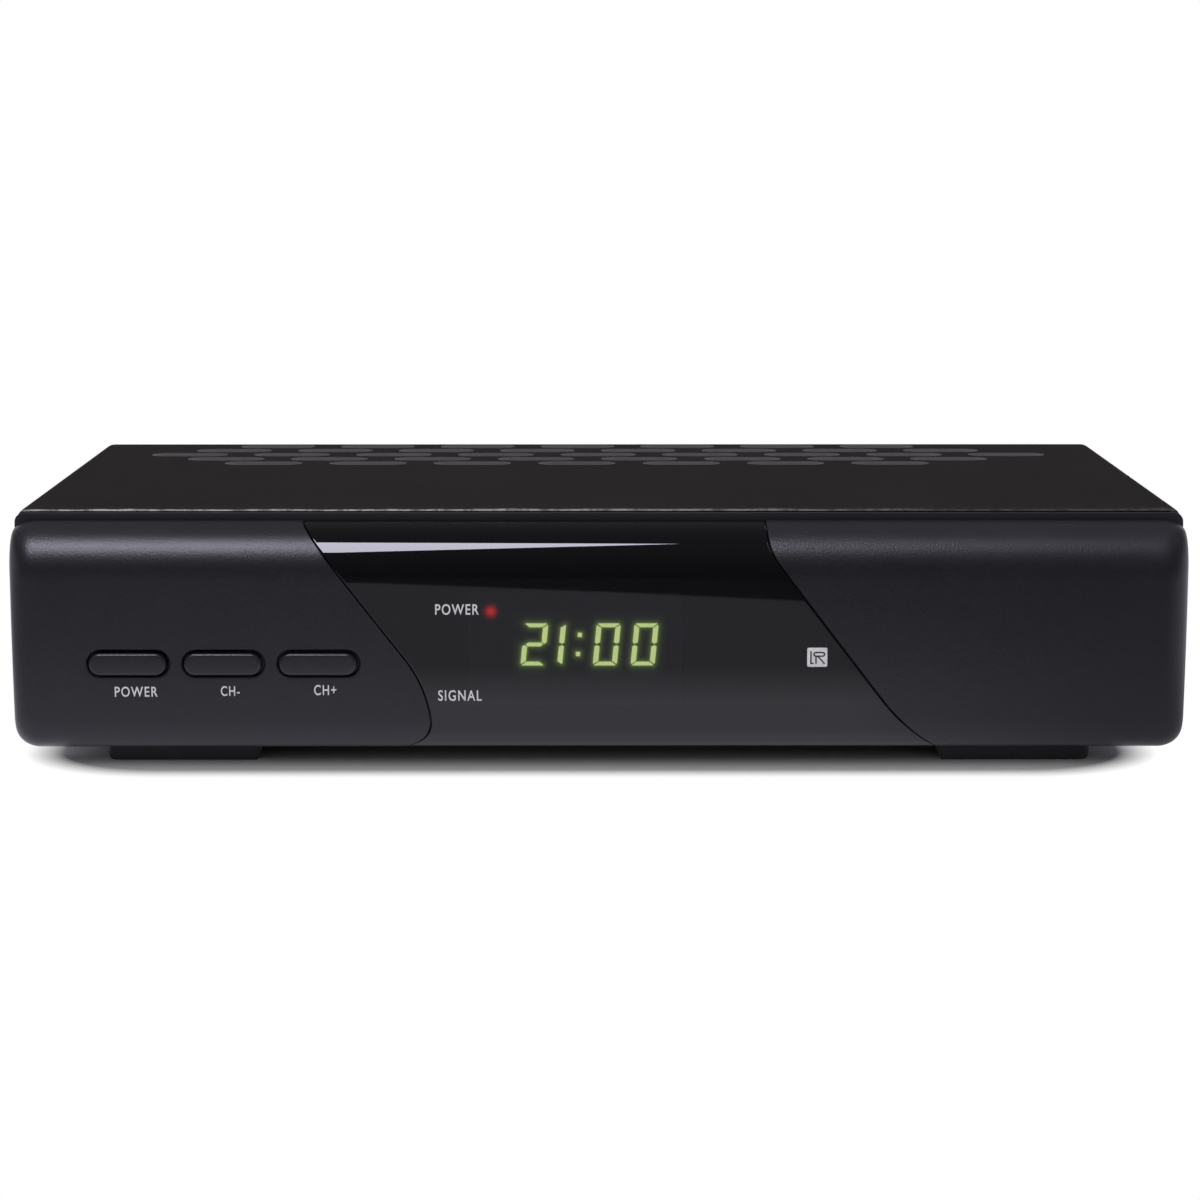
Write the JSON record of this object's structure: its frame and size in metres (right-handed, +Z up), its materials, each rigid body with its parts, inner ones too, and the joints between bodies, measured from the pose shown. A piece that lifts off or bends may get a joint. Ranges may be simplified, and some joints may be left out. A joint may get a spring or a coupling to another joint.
{
  "type": "digital tv receiver",
  "caption": "Flat black set-top digital television receiver: folded steel case with vented top, moulded fascia with a smoked clock window and push buttons, and sockets at the rear.",
  "frame": {"origin": "centre of the bounding box at the surface that the feet stand on", "axes": "+X to the viewer's right across the fascia, +Y from the fascia to the rear, +Z up"},
  "size_m": [0.2226, 0.1424, 0.0477],
  "materials": {
    "black_paint": "satin black paint",
    "zinc_steel": "zinc plated",
    "fascia_plastic": "fine matte texture",
    "smoked_window": "polished, smoked",
    "button_plastic": "satin",
    "foot_plastic": "matte",
    "screw_steel": "plated",
    "board_laminate": "solder mask",
    "dark_plastic": "moulded",
    "lit_segments": "lit green",
    "red_lamp": "lit red",
    "green_lamp": "unlit",
    "switch_steel": "stamped",
    "pale_plastic": "moulded",
    "cable_jacket": "flexible",
    "nickel": "nickel plated",
    "orange_plastic": "moulded",
    "heat_sink_metal": "extruded",
    "standoff_brass": "turned",
    "capacitor_sleeve": "sleeved",
    "winding": "taped winding"
  },
  "bodies": {
    "enclosure": {"base_chassis": "zinc_steel", "top_cover": "black_paint", "front_fascia": "fascia_plastic", "display_window": "smoked_window", "front_left_foot": "foot_plastic", "front_right_foot": "foot_plastic", "rear_left_foot": "foot_plastic", "rear_right_foot": "foot_plastic", "cover_screws": "screw_steel", "fascia_screws": "screw_steel", "power_switch": "switch_steel", "channel_down_switch": "switch_steel", "channel_up_switch": "switch_steel", "front_board": "board_laminate", "front_board_screws": "screw_steel", "display_module": "dark_plastic", "display_segments": "lit_segments", "power_lamp": "red_lamp", "signal_lamp": "green_lamp", "infrared_receiver": "dark_plastic", "front_board_header": "pale_plastic", "ribbon_cable": "cable_jacket", "main_board": "board_laminate", "board_standoffs": "standoff_brass", "board_screws": "screw_steel", "tuner_can": "nickel", "aerial_input_jack": "nickel", "aerial_output_jack": "nickel", "scart_socket": "dark_plastic", "hdmi_socket": "nickel", "digital_audio_jack": "orange_plastic", "processor": "dark_plastic", "heat_sink": "heat_sink_metal", "memory_chip": "dark_plastic", "flash_chip": "dark_plastic", "crystal": "nickel", "main_board_capacitors": "capacitor_sleeve", "main_board_header": "pale_plastic", "power_input_header": "pale_plastic", "power_board": "board_laminate", "insulating_sheet": "pale_plastic", "mains_inlet": "dark_plastic", "fuse": "pale_plastic", "line_filter_choke": "winding", "mains_capacitor": "capacitor_sleeve", "reservoir_capacitor": "dark_plastic", "transformer": "winding", "switching_transistor": "dark_plastic", "power_heat_sink": "heat_sink_metal", "output_capacitors": "capacitor_sleeve", "power_output_header": "pale_plastic", "power_lead": "cable_jacket"},
    "power_key": {"power_button": "button_plastic", "power_plunger": "dark_plastic"},
    "channel_down_key": {"channel_down_button": "button_plastic", "channel_down_plunger": "dark_plastic"},
    "channel_up_key": {"channel_up_button": "button_plastic", "channel_up_plunger": "dark_plastic"}
  },
  "joints": [
    {"name": "power_press", "type": "slide", "parent": "enclosure", "child": "power_key", "axis": [0, 1, 0], "range_m": [0, 0.0005], "stiffness_N_per_m": 800, "springref_m": -0.0008},
    {"name": "channel_down_press", "type": "slide", "parent": "enclosure", "child": "channel_down_key", "axis": [0, 1, 0], "range_m": [0, 0.0005], "stiffness_N_per_m": 800, "springref_m": -0.0008},
    {"name": "channel_up_press", "type": "slide", "parent": "enclosure", "child": "channel_up_key", "axis": [0, 1, 0], "range_m": [0, 0.0005], "stiffness_N_per_m": 800, "springref_m": -0.0008}
  ]
}
